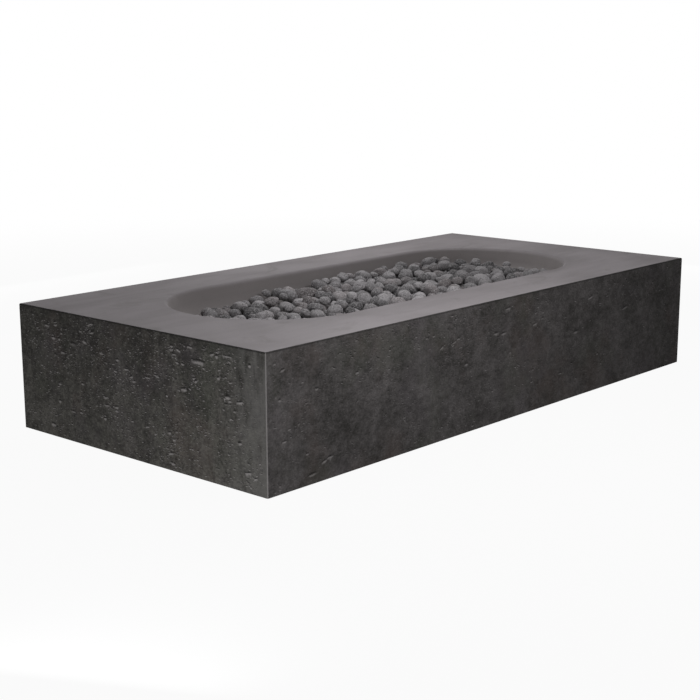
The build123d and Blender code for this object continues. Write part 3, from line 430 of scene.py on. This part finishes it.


# Cast body: the block's own mesh with its four outer walls made again, pitted as the casting is.
# Pits are strewn in two kinds, and crowd in swarms where the photograph shows it: along, up, reach.
# Each mark that stands out there is listed: along, up, half length, half height, tilt.
castSet = {
    "seed": 21, "deepMost": 0.0034, "deepShare": (0.6, 1.1), "palePower": 1.5, "tilt": 0.16,
    "margin": 0.004, "ringReach": 2.2, "nearReach": 1.5, "roundness": 0.8,
    "waves": 3, "wobble": 0.16, "jitter": 0.07,
    # Glow and gloom here are painted highlight on the dents' lower lips and painted shade under their
    # upper lips
    "markGlow": 0.75, "markDeep": 0.55,
    "gloomFade": (0.95, 1.35), "gloomRise": (-0.25, 0.45),
    "glowFade": (0.9, 1.3), "glowFall": (-0.1, 0.5),
    "kinds": (
        {
            "perArea": 260, "long": 0.0036, "spread": 0.45, "most": 0.014, "flat": (0.25, 0.5),
            "rings": ((1.75, 10), (1.0, 11), (0.72, 9), (0.38, 6), (0.0, 1)),
        },
        {
            "perArea": 4200, "long": 0.0022, "spread": 0.38, "most": 0.005, "flat": (0.32, 0.62),
            "rings": ((1.75, 7), (0.9, 8), (0.0, 1)),
        },
    ),
    "crowd": {"front": 0.5, "back": 0.5, "left": 1.2, "right": 1.0},
    "gloom": {"front": 0.55, "back": 0.55, "left": 1.0, "right": 1.0},
    "glow": {"front": 0.5, "back": 0.5, "left": 1.0, "right": 1.0},
    "stray": 0.08, "leastCrowd": 0.05, "topGain": 0.5, "topPower": 3, "seatStep": 40,
    "broad": (5.5, 9), "broadGain": 1.2, "small": (15, 24), "smallGain": 0.5, "smallSeat": 9,
    "flatCosine": 0.9999, "planeGap": 1e-5, "thin": 1e-4, "crease": 0.6, "edgeRadius": 0.0041,
    "notchBelow": 0.06, "cornerInset": 0.02, "notchEase": 0.995,
    "panDrop": 0.001, "upFacing": 0.02, "bowlInset": 0.18,
    "swarms": {
        "left": (
            (0.38, 0.285, 0.075), (0.31, 0.245, 0.06), (0.185, 0.30, 0.05), (0.128, 0.264, 0.035),
            (0.05, 0.222, 0.045), (-0.09, 0.242, 0.03), (-0.175, 0.318, 0.04), (-0.33, 0.328, 0.05),
            (-0.244, 0.253, 0.03), (-0.19, 0.224, 0.03), (0.10, 0.13, 0.04), (0.34, 0.035, 0.03),
            (-0.05, 0.333, 0.035), (-0.145, 0.085, 0.05), (-0.15, 0.03, 0.035), (-0.43, 0.04, 0.04),
            (-0.34, 0.02, 0.03), (-0.37, 0.23, 0.03),
        ),
    },
    "marks": {
        "left": (
            (0.026, 0.241, 0.010, 0.003, 0.0), (0.071, 0.229, 0.007, 0.003, 0.1),
            (0.007, 0.224, 0.008, 0.0035, -0.2), (-0.003, 0.213, 0.007, 0.003, -0.1),
            (-0.059, 0.232, 0.010, 0.0026, 0.0), (-0.097, 0.241, 0.007, 0.0035, 0.1),
            (0.117, 0.150, 0.010, 0.003, -0.2), (0.111, 0.129, 0.010, 0.003, -0.1),
            (0.073, 0.131, 0.007, 0.004, -0.2), (0.072, 0.120, 0.006, 0.003, 0.0),
            (0.123, 0.091, 0.005, 0.004, 0.0), (0.336, 0.283, 0.008, 0.0045, 0.0),
            (0.311, 0.283, 0.005, 0.005, 0.0), (0.297, 0.247, 0.009, 0.004, 0.1),
            (0.316, 0.156, 0.006, 0.004, 0.0), (0.062, 0.261, 0.006, 0.004, 0.0),
            (0.215, 0.172, 0.005, 0.0035, 0.0), (0.364, 0.314, 0.010, 0.004, 0.1),
            (0.325, 0.321, 0.008, 0.004, -0.2), (0.167, 0.320, 0.009, 0.004, -0.2),
            (0.199, 0.290, 0.008, 0.004, 0.2), (0.128, 0.269, 0.008, 0.003, 0.1),
            (0.320, 0.106, 0.005, 0.0045, 0.0), (0.261, 0.086, 0.008, 0.003, 0.0),
            (0.225, 0.089, 0.006, 0.003, 0.1), (0.354, 0.033, 0.010, 0.005, 0.1),
            (-0.255, 0.303, 0.022, 0.006, 0.0), (-0.199, 0.224, 0.010, 0.005, 0.0),
            (-0.359, 0.332, 0.014, 0.0028, 0.0), (-0.225, 0.336, 0.010, 0.003, 0.1),
            (-0.305, 0.330, 0.008, 0.004, -0.3), (-0.322, 0.327, 0.005, 0.005, 0.0),
            (-0.243, 0.252, 0.006, 0.005, -0.4), (-0.236, 0.258, 0.004, 0.004, 0.0),
            (-0.358, 0.230, 0.008, 0.006, 0.0), (-0.400, 0.224, 0.011, 0.0035, -0.2),
            (-0.437, 0.321, 0.004, 0.005, 0.0), (-0.327, 0.273, 0.005, 0.0045, 0.0),
            (-0.156, 0.329, 0.005, 0.004, 0.0), (-0.154, 0.320, 0.007, 0.003, 0.0),
            (-0.183, 0.321, 0.006, 0.0035, 0.1), (-0.163, 0.309, 0.008, 0.003, 0.0),
            (-0.140, 0.100, 0.004, 0.004, 0.0), (-0.156, 0.084, 0.006, 0.003, 0.0),
            (-0.148, 0.020, 0.010, 0.004, 0.1), (-0.398, 0.121, 0.006, 0.0045, -0.2),
            (-0.425, 0.051, 0.012, 0.003, -0.2), (-0.450, 0.041, 0.007, 0.003, -0.3),
        ),
        "front": (
            (-0.790, 0.049, 0.010, 0.004, 0.3), (-0.768, 0.056, 0.011, 0.0038, 0.1),
            (-0.834, 0.025, 0.016, 0.004, 0.1), (-0.851, 0.082, 0.005, 0.003, 0.0),
            (-0.935, 0.308, 0.009, 0.004, 0.3), (-0.816, 0.241, 0.006, 0.004, 0.0),
            (-0.931, 0.130, 0.008, 0.003, 0.1), (-0.945, 0.236, 0.005, 0.004, 0.0),
            (-0.666, 0.255, 0.007, 0.004, 0.2), (-0.071, 0.264, 0.010, 0.0045, 0.0),
            (-0.035, 0.258, 0.010, 0.004, 0.1), (0.122, 0.262, 0.012, 0.0035, 0.2),
            (0.343, 0.205, 0.012, 0.005, 0.1), (0.421, 0.301, 0.013, 0.004, 0.2),
            (0.627, 0.240, 0.016, 0.004, 0.2), (-0.015, 0.328, 0.014, 0.003, 0.1),
            (-0.208, 0.198, 0.007, 0.0045, 0.0), (-0.268, 0.268, 0.012, 0.003, 0.3),
            (-0.321, 0.262, 0.010, 0.003, 0.4), (0.263, 0.088, 0.008, 0.003, 0.0),
        ),
    },
}


def easeOf(value, low, high):
    share = np.clip((value - low) / (high - low), 0, 1)
    return share * share * (3 - 2 * share)


def wallsOf(low, high, seatStep):  # across and along are axes, seat shifts the noise from wall to wall
    sides = {"front": (1, low.y), "back": (1, high.y), "left": (0, low.x), "right": (0, high.x)}
    for serial, (name, (across, at)) in enumerate(sides.items()):
        along = 1 - across
        yield {
            "name": name, "across": across, "at": at, "along": along, "long": high[along] - low[along],
            "high": high.z, "seat": serial * seatStep,
        }


def crowdAt(along, up, wall, wish):  # share of the pits tried here that are made
    swarms = wish["swarms"].get(wall["name"])
    if swarms:
        nearness = (((along - x) ** 2 + (up - z) ** 2) / far**2 for x, z, far in swarms)
        return wish["stray"] + math.exp(-min(nearness))
    broadX, broadZ = wish["broad"]
    smallX, smallZ = wish["small"]
    broad = noise.noise(Vector((along * broadX, up * broadZ, wall["seat"])))
    small = noise.noise(Vector((along * smallX, up * smallZ, wall["seat"] + wish["smallSeat"])))
    patches = wish["broadGain"] * max(0, broad + wish["smallGain"] * small)
    return wish["leastCrowd"] + patches + wish["topGain"] * (up / wall["high"]) ** wish["topPower"]


# Each dent is a row: along, up, half length, half height, tilt, depth, paleness (the strength of its
# painted highlight)
def dentsOf(wall, kind, wish, draw):
    rows = []
    half = wall["long"] / 2
    area = wall["long"] * wall["high"] * wish["crowd"][wall["name"]]
    for serial in range(int(kind["perArea"] * area)):
        while True:
            along, up = draw.uniform(-half, half), draw.uniform(0, wall["high"])
            if draw.random() < crowdAt(along, up, wall, wish):
                break
        size = min(kind["long"] * math.exp(draw.normal(0, kind["spread"])), kind["most"])
        rise = size * draw.uniform(*kind["flat"])
        deep = min(rise * draw.uniform(*wish["deepShare"]), wish["deepMost"])
        pale = wish["glow"][wall["name"]] * draw.random() ** wish["palePower"]
        rows.append((along, up, size, rise, draw.normal(0, wish["tilt"]), deep, pale))
    return rows


def markedDents(wall, wish):
    pale = wish["markGlow"] * wish["glow"][wall["name"]]
    rows = []
    for along, up, size, half, tilt in wish["marks"].get(wall["name"], ()):
        rows.append((along, up, size, half, tilt, min(half * wish["markDeep"], wish["deepMost"]), pale))
    return rows


def ringPoints(dents, rings, wish, draw):  # a few rings of points on each dent
    found = []
    for along, up, size, half, tilt, deep, pale in dents:
        phase = draw.uniform(0, 2 * math.pi)
        for reach, count in rings:
            angle = np.arange(count) * 2 * math.pi / count + phase + reach
            uneven = draw.uniform(-wish["jitter"], wish["jitter"], count)
            wobble = reach * (1 + wish["wobble"] * np.sin(wish["waves"] * angle + phase) + uneven)
            across, rise = size * wobble * np.cos(angle), half * wobble * np.sin(angle)
            side = along + across * math.cos(tilt) - rise * math.sin(tilt)
            found.append(np.column_stack([side, up + across * math.sin(tilt) + rise * math.cos(tilt)]))
    return np.concatenate(found)


def dentAt(points, dents, wish):  # depth, painted shade under the upper lip, painted highlight on the lower lip
    order = np.argsort(points[:, 0])
    sortedAlong = points[order, 0]
    depth, gloom, glow = np.zeros((3, len(points)))
    for along, up, size, half, tilt, deep, pale in dents:
        reach = wish["nearReach"] * (size + half)
        first, last = np.searchsorted(sortedAlong, (along - reach, along + reach))
        near = order[first:last]
        side, rise = points[near, 0] - along, points[near, 1] - up
        across = (side * math.cos(tilt) + rise * math.sin(tilt)) / size
        climb = (rise * math.cos(tilt) - side * math.sin(tilt)) / half
        far = np.hypot(across, climb)
        hollow = deep * np.clip(1 - far**2, 0, 1) ** wish["roundness"]
        dark = (1 - easeOf(far, *wish["gloomFade"])) * easeOf(climb, *wish["gloomRise"])
        light = pale * (1 - easeOf(far, *wish["glowFade"])) * easeOf(-climb, *wish["glowFall"])
        for kept, new in ((depth, hollow), (gloom, dark), (glow, light)):
            kept[near] = np.maximum(kept[near], new)
    return depth, gloom, glow


def clearDents(dents, rimEnds, wish):  # the dents whose rings stay clear of the wall's edges
    along, up, size, half, tilt = np.array(dents).T[:5]
    spots = np.column_stack([along, up])
    cosine, sine = np.abs(np.cos(tilt)), np.abs(np.sin(tilt))
    gapSide = wish["margin"] + wish["ringReach"] * (size * cosine + half * sine)
    gapUp = wish["margin"] + wish["ringReach"] * (size * sine + half * cosine)
    clear = np.ones(len(dents), bool)
    for start, end in rimEnds:
        run = end - start
        share = np.clip(((spots - start) @ run) / (run @ run), 0, 1)
        side, rise = np.abs(spots - start - share[:, None] * run).T
        clear &= (side > gapSide) | (rise > gapUp)
    return [dent for dent, free in zip(dents, clear) if free]


def wallDents(wall, rimEnds, wish, draw):  # the wall's dents, and the points of their rings
    dents, points = [], []
    for kind in wish["kinds"]:
        rows = dentsOf(wall, kind, wish, draw)
        if kind is wish["kinds"][0]:
            rows += markedDents(wall, wish)
        rows = clearDents(rows, rimEnds, wish)
        dents += rows
        points.append(ringPoints(rows, kind["rings"], wish, draw))
    return dents, np.concatenate(points)


def openingAt(points, outline, wall, wish):  # which are in the valve's hole or the notch
    valveLow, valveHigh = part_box("valve_sleeve")
    middle = np.array([valveLow.x + valveHigh.x, valveLow.z + valveHigh.z]) / 2
    inHole = np.hypot(*(points - middle).T) < np.hypot(*(outline - middle).T).min()
    inner = np.abs(outline[:, 0]) < wall["long"] / 2 - wish["cornerInset"]
    foot = outline[(outline[:, 1] < wish["notchBelow"]) & inner]
    start, end, top = foot[:, 0].min(), foot[:, 0].max(), foot[:, 1].max()
    radius = foot[foot[:, 1] > top - weldGap, 0].min() - start  # of the notch's two upper corners
    inNotch = (points[:, 0] > start) & (points[:, 0] < end) & (points[:, 1] < top)
    beside = np.maximum(start + radius - points[:, 0], points[:, 0] - (end - radius))
    over = points[:, 1] - (top - radius)
    inCorner = (beside > 0) & (over > 0) & (np.hypot(beside, over) > radius * wish["notchEase"])
    return inHole | (inNotch & ~inCorner)


def wallRim(shape, wall, wish):  # the wall's present faces, the points round them and their edges
    across = wall["across"]
    facing = [f for f in shape.faces if abs(f.normal[across]) > wish["flatCosine"]]
    old = {f for f in facing if abs(f.calc_center_median()[across] - wall["at"]) < wish["planeGap"]}
    rim = [e for e in shape.edges if sum(f in old for f in e.link_faces) == 1]
    corners = list(dict.fromkeys(v for e in rim for v in e.verts))
    place = {v: serial for serial, v in enumerate(corners)}
    return old, corners, [(place[e.verts[0]], place[e.verts[1]]) for e in rim]


def newPoint(shape, wall, spot, deep, layers, tones):
    place = Vector((0, 0, spot[1]))
    place[wall["along"]] = spot[0]
    place[wall["across"]] = wall["at"] - math.copysign(deep, wall["at"])
    point = shape.verts.new(place)
    for layer, tone in zip(layers, tones):
        point[layer] = tone
    return point


def remakeWall(shape, wall, wish, draw, layers):
    old, corners, edges = wallRim(shape, wall, wish)
    outline = np.array([(v.co[wall["along"]], v.co.z) for v in corners])
    dents, points = wallDents(wall, outline[np.array(edges)], wish, draw)
    flat = [Vector(spot) for spot in np.concatenate([outline, points])]
    found = delaunay_2d_cdt(flat, edges, [], 0, weldGap, True)
    faces, origins = found[2:4]
    spots = np.array([tuple(spot) for spot in found[0]])
    depth, gloom, glow = dentAt(spots, dents, wish)
    gloom *= wish["gloom"][wall["name"]]
    made = []
    for spot, origin, deep, *tones in zip(spots, origins, depth, gloom, glow):
        known = [serial for serial in origin if serial < len(corners)]
        made.append(corners[known[0]] if known else newPoint(shape, wall, spot, deep, layers, tones))
    bmesh.ops.delete(shape, geom=list(old), context="FACES_ONLY")
    skipped = np.zeros(len(faces), bool)
    if wall["name"] == "back":
        middles = np.array([spots[list(face)].mean(axis=0) for face in faces])
        skipped = openingAt(middles, outline, wall, wish)
    wallFaces = []
    for face, skip in zip(faces, skipped):
        if not skip:
            wallFaces.append(shape.faces.new([made[serial] for serial in face]))
            wallFaces[-1].normal_update()
            if wallFaces[-1].normal[wall["across"]] * wall["at"] < 0:
                wallFaces[-1].normal_flip()
    print("wall", wall["name"], len(dents), "dents", len(wallFaces), "faces")
    return wallFaces


def sortFaces(shape, wallFaces, high, wish):  # smooths the shape, and sorts its faces by finish
    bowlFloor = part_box("burner_pan")[1].z - wish["panDrop"]
    for edge in shape.edges:
        inWall = all(f in wallFaces for f in edge.link_faces)
        edge.smooth = inWall or (len(edge.link_faces) == 2 and edge.calc_face_angle(0) < wish["crease"])
    for face in shape.faces:
        face.smooth = True
        middle = face.calc_center_median()
        outer = max(abs(middle.x) - high.x, abs(middle.y) - high.y) > -wish["edgeRadius"]
        upper = middle.z > bowlFloor and face.normal.z > wish["upFacing"]
        inBowl = upper and abs(middle.y) < high.y - wish["bowlInset"]
        if outer and middle.z > wish["thin"]:
            face.material_index = 0  # pitted side
        elif inBowl or middle.z > high.z - wish["thin"]:
            face.material_index = 1  # smooth deck, painted paler partly for its top light
        else:
            face.material_index = 2  # sprayed inside


def makeCastBody(wish):
    draw = np.random.default_rng(wish["seed"])
    low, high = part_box("concrete_body")
    shape = bmesh.new()
    shape.from_mesh(nodes["concrete_body"].data)
    bmesh.ops.remove_doubles(shape, verts=shape.verts, dist=weldGap)
    layers = [shape.verts.layers.float.new(name) for name in ("gloom", "glow")]
    shape.normal_update()
    wallFaces = set()
    for wall in wallsOf(low, high, wish["seatStep"]):
        wallFaces.update(remakeWall(shape, wall, wish, draw, layers))
    bmesh.ops.delete(shape, geom=[e for e in shape.edges if not e.link_faces], context="EDGES")
    shape.normal_update()
    sortFaces(shape, wallFaces, high, wish)
    mesh = bpy.data.meshes.new("castBody")
    shape.to_mesh(mesh)
    shape.free()
    for material in (pittedSide(sideSet, high), litSmoothDeck(deckSet, high), sprayedInside(insideSet)):
        mesh.materials.append(material)
    body = addObject("castBody", mesh)
    even = body.modifiers.new("evenNormals", "WEIGHTED_NORMAL")
    even.weight = 100
    even.keep_sharp = True
    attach(body, "pit")
    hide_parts("concrete_body")
    print("cast body", len(mesh.polygons), "faces")


makeCastBody(castSet)

# Lava stones: each CAD stone worn round, then lumped and pitted
stoneSet = {
    "seed": 5, "edge": 9.0, "swell": 1.06, "fine": 4, "coarse": 3, "seenAbove": 0.305, "shiftMost": 50,
    "lump": 0.05, "lumpScale": 1.7, "knobShare": 0.5, "knobScale": 3.7,
    "vesicle": 0.024, "vesicleSize": 0.0068, "vesicleRim": 0.55,
    "dark": grey(0.058, 1.05, 1.03), "pale": grey(0.305, 1.05, 1.03), "rust": (0.185, 0.160, 0.160, 1),
    # The soot colour here paints the shade low in the heap and darkens the stones towards the right
    # end; the pore colour paints shade in the pores
    "poreShade": grey(0.014), "crest": grey(0.46, 1.04, 1.03), "soot": grey(0.022, 1.05, 1.03),
    "tone": {"scale": (30, 30, 30), "detail": 5.0, "rough": 0.6}, "ownShare": 0.65,
    "toneEase": (0.1, 0.92), "rustTurn": 7.31, "rustEase": (0.62, 0.95), "rustShare": 0.5,
    "crust": {"scale": (240, 240, 240), "rough": 0.65}, "crustEase": (0.48, 0.68), "crustShare": 0.6,
    "heapCrown": 0.21, "heapFall": 0.06, "heapEase": (0.292, 0.338), "heapShade": 0.6,
    "rightEase": (-0.1, 0.6), "rightDarkening": 0.36,
    "poreScale": (150, 150, 150), "poreEase": (0.14, 0.34), "poreShare": 0.6,
    "dotScale": (330, 330, 330), "dotEase": (0.15, 0.36), "dotShare": 0.35,
    "rough": 0.92, "crustGloss": 0.08, "crustRise": 0.35, "bump": (0.85, 0.0018), "shine": 0.25,
}


def lavaRock(wish):
    paint = newPaint("lavaRock")
    which = paint.node("ShaderNodeNewGeometry", {}, {}, "Random Per Island")
    tone, crust = paint.cloud(**wish["tone"]), paint.cloud(**wish["crust"])
    shade = (which * wish["ownShare"] + tone * (1 - wish["ownShare"])).ease(*wish["toneEase"])
    colour = paint.blend(shade, wish["dark"], wish["pale"])
    rusty = (which * wish["rustTurn"]).fraction().ease(*wish["rustEase"])
    colour = paint.blend(rusty * wish["rustShare"], colour, wish["rust"])
    colour = paint.blend(crust.ease(*wish["crustEase"]) * wish["crustShare"], colour, wish["crest"])
    x, z = paint.axis("X"), paint.axis("Z")
    # Painted shade: stones lower in the heap are darkened, where the stones above shade them
    deep = 1 - (z + abs(x - wish["heapCrown"]) * wish["heapFall"]).ease(*wish["heapEase"])
    colour = paint.blend(deep * wish["heapShade"], colour, wish["soot"])
    towardsRight = x.ease(*wish["rightEase"])  # darker towards the right end (+x)
    colour = paint.blend(towardsRight * wish["rightDarkening"], colour, wish["soot"])
    pores = 1 - paint.cells(paint.place(*wish["poreScale"])).ease(*wish["poreEase"])
    dots = 1 - paint.cells(paint.place(*wish["dotScale"])).ease(*wish["dotEase"])
    hole = pores * wish["poreShare"] + dots * wish["dotShare"]
    # Painted shade in the pores and the fine dots
    colour = paint.blend(hole, colour, wish["poreShade"])
    inputs = {
        "Base Color": colour, "Roughness": wish["rough"] - crust * wish["crustGloss"],
        "Normal": paint.relief(crust * wish["crustRise"] - hole, *wish["bump"]),
        "Specular IOR Level": wish["shine"],
    }
    return paint.finish(inputs)


def stoneIslands():  # corner points, face normals and face distances of each CAD stone
    shape = bmesh.new()
    shape.from_mesh(nodes["lava_stones"].data)
    bmesh.ops.remove_doubles(shape, verts=shape.verts, dist=weldGap)
    shape.normal_update()
    seen = set()
    for start in shape.verts:
        if start in seen:
            continue
        group, queue = [], [start]
        seen.add(start)
        while queue:
            vert = queue.pop()
            group.append(vert)
            for edge in vert.link_edges:
                other = edge.other_vert(vert)
                if other not in seen:
                    seen.add(other)
                    queue.append(other)
        faces = list(dict.fromkeys(f for v in group for f in v.link_faces))
        points = np.array([v.co for v in group])
        normals = np.array([f.normal for f in faces])
        yield points, normals, np.array([f.normal.dot(f.verts[0].co) for f in faces])
    shape.free()


def roundBall(level):
    ball = bmesh.new()
    bmesh.ops.create_icosphere(ball, subdivisions=level, radius=1)
    ways = np.array([v.co for v in ball.verts])
    faces = np.array([[v.index for v in f.verts] for f in ball.faces])
    ball.free()
    return ways, faces


def wornReach(ways, reach, shift, wish):  # how far the worn stone goes each way
    worn = []
    for way, far in zip(ways, reach):
        spot = Vector(way)
        lump = noise.noise(spot * wish["lumpScale"] + shift)
        knob = noise.noise(spot * wish["knobScale"] + shift)
        pit = noise.voronoi(spot * (far / wish["vesicleSize"]) + shift)[0][0]
        bulge = wish["lump"] * (lump + wish["knobShare"] * knob)
        worn.append(far * (1 + bulge - wish["vesicle"] * max(0, 1 - pit / wish["vesicleRim"])))
    return np.array(worn)


def makeStones(wish):
    draw = np.random.default_rng(wish["seed"])
    balls = {level: roundBall(level) for level in (wish["fine"], wish["coarse"])}
    points, faces, count = [], [], 0
    for corners, normals, offsets in stoneIslands():
        middle = (corners.min(axis=0) + corners.max(axis=0)) / 2
        inSight = corners[:, 2].max() > wish["seenAbove"]
        ways, ballFaces = balls[wish["fine"] if inSight else wish["coarse"]]
        shares = np.clip(ways @ normals.T, 0, None) / (offsets - normals @ middle)
        reach = (shares ** wish["edge"]).sum(axis=1) ** (-1 / wish["edge"]) * wish["swell"]
        shift = Vector(draw.uniform(-wish["shiftMost"], wish["shiftMost"], 3))
        points.append(middle + ways * wornReach(ways, reach, shift, wish)[:, None])
        faces.append(ballFaces + count)
        count += len(ways)
    mesh = bpy.data.meshes.new("wornStones")
    mesh.from_pydata(np.concatenate(points), [], np.concatenate(faces).tolist())
    mesh.polygons.foreach_set("use_smooth", [True] * len(mesh.polygons))
    mesh.materials.append(lavaRock(wish))
    stones = addObject("wornStones", mesh)
    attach(stones, "pit")
    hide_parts("lava_stones")
    print("stones", len(points), "with", len(mesh.polygons), "faces")


makeStones(stoneSet)

# Gas hose, hanging between the elbow and the valve
hoseSet = {
    "route": (
        (0.037, 0.000, 0.132), (0.137, 0.000, 0.132), (0.245, 0.055, 0.114), (0.301, 0.170, 0.104),
        (0.320, 0.304, 0.105), (0.373, 0.402, 0.158), (0.455, 0.428, 0.190), (0.521, 0.428, 0.190),
    ),
    "thick": 0.0158, "length": 0.753, "sides": 6, "steps": 16,
    "colour": grey(0.024, 1.0), "dust": grey(0.07), "weaveScale": (620, 620, 620),
    "dustNoise": {"scale": (38, 38, 38), "detail": 5.0, "rough": 0.6}, "dustEase": (0.48, 0.75),
    "dustShare": 0.6, "rough": 0.62, "dustRough": 0.2, "bump": (0.35, 0.0006),
}


def hoseRubber(wish):
    paint = newPaint("hoseRubber")
    weave = paint.cells(paint.place(*wish["weaveScale"]))
    dust = paint.cloud(**wish["dustNoise"]).ease(*wish["dustEase"])
    inputs = {
        "Base Color": paint.blend(dust * wish["dustShare"], wish["colour"], wish["dust"]),
        "Roughness": wish["rough"] + dust * wish["dustRough"],
        "Normal": paint.relief(weave, *wish["bump"]),
    }
    return paint.finish(inputs)


def makeHose(wish):
    line = bpy.data.curves.new("gasHose", "CURVE")
    line.dimensions = "3D"
    line.bevel_depth = wish["thick"] / 2
    line.bevel_resolution = wish["sides"]
    line.resolution_u = wish["steps"]
    line.use_fill_caps = True
    run = line.splines.new("NURBS")
    run.points.add(len(wish["route"]) - 1)
    for point, spot in zip(run.points, wish["route"]):
        point.co = (*spot, 1)
    run.order_u = 3
    run.use_endpoint_u = True
    line.materials.append(hoseRubber(wish))
    hose = addObject("gasHose", line)
    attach(hose, "pit")
    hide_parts("gas_hose")
    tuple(wish["route"][0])
    print("hose hung")


makeHose(hoseSet)

# Fittings keep their CAD shapes and get finishes
fittingSet = {
    # The burner's steel is painted nearly black: partly soot, partly painted shade where it lies under
    # the stones
    "sootedAndShadedSteel": {
        "colour": (0.24, 0.215, 0.19, 1), "soot": (0.022, 0.020, 0.019, 1), "metal": 0.7, "rough": 0.55,
        "lines": (40, 900, 900), "grime": 0.95,
    },
    "steelSheet": {
        "colour": (0.60, 0.585, 0.56, 1), "soot": (0.20, 0.17, 0.145, 1), "metal": 1.0, "rough": 0.36,
        "lines": (40, 900, 900), "grime": 0.5,
    },
    "steelBar": {
        "colour": (0.58, 0.57, 0.55, 1), "soot": (0.24, 0.20, 0.17, 1), "metal": 1.0, "rough": 0.3,
        "lines": (700, 700, 60), "grime": 0.3,
    },
    "castBrass": {
        "colour": (0.72, 0.52, 0.24, 1), "soot": (0.36, 0.25, 0.12, 1), "metal": 1.0, "rough": 0.3,
        "lines": (500, 500, 120), "grime": 0.45,
    },
    "plateChrome": {
        "colour": (0.46, 0.455, 0.45, 1), "soot": (0.22, 0.215, 0.21, 1), "metal": 0.85, "rough": 0.24,
        "lines": (240, 240, 240), "grime": 0.25,
    },
    "fibreGasket": {
        "colour": (0.70, 0.68, 0.63, 1), "soot": (0.42, 0.39, 0.35, 1), "metal": 0.0, "rough": 0.95,
        "lines": (900, 300, 900), "grime": 0.6,
    },
    "sealRubber": {
        "colour": (0.022, 0.022, 0.023, 1), "soot": (0.06, 0.06, 0.06, 1), "metal": 0.0, "rough": 0.55,
        "lines": (800, 800, 800), "grime": 0.3,
    },
    "seatPlastic": {
        "colour": (0.82, 0.81, 0.77, 1), "soot": (0.62, 0.60, 0.54, 1), "metal": 0.0, "rough": 0.45,
        "lines": (900, 120, 900), "grime": 0.3,
    },
}
finishOf = {
    "sootedAndShadedSteel": (
        "burner_pan", "burner_rails", "burner_end_caps", "burner_hub", "burner_rests", "burner_straps",
        "strap_screws",
    ),
    "steelSheet": ("hub_washer", "sleeve_washer"),
    "steelBar": ("hub_locknut", "strap_nuts"),
    "castBrass": (
        "air_mixer", "gas_orifice", "flare_elbow", "burner_hose_nut", "valve_hose_nut", "valve_body",
        "valve_tailpiece", "valve_stem", "stem_gland", "valve_sleeve", "sleeve_locknut",
    ),
    "plateChrome": ("valve_ball", "escutcheon", "key_shank", "key_handle"),
    "fibreGasket": ("pan_gasket",),
    "sealRubber": ("stem_rings",),
    "seatPlastic": ("valve_seats",),
}
wearSet = {
    "lineDetail": 3.0, "lineRough": 0.6, "lineSpan": 0.14, "bump": (0.12, 0.0004),
    "grime": {"scale": (34, 34, 34), "detail": 6.0, "rough": 0.62, "warp": 0.6},
    "grimeEase": (0.46, 0.78), "grimeRough": 0.3,
}


def fittingFinish(name, wish, wear):
    paint = newPaint(name)
    lines = paint.cloud(wish["lines"], wear["lineDetail"], wear["lineRough"])
    grime = paint.cloud(**wear["grime"]).ease(*wear["grimeEase"]) * wish["grime"]
    inputs = {
        "Base Color": paint.blend(grime, wish["colour"], wish["soot"]), "Metallic": wish["metal"],
        "Roughness": wish["rough"] + (lines - 0.5) * wear["lineSpan"] + grime * wear["grimeRough"],
        "Normal": paint.relief(lines, *wear["bump"]),
    }
    return paint.finish(inputs)


for finish, members in finishOf.items():
    material = fittingFinish(finish, fittingSet[finish], wearSet)
    for member in members:
        nodes[member].data.materials.clear()
        nodes[member].data.materials.append(material)
print("fittings finished")
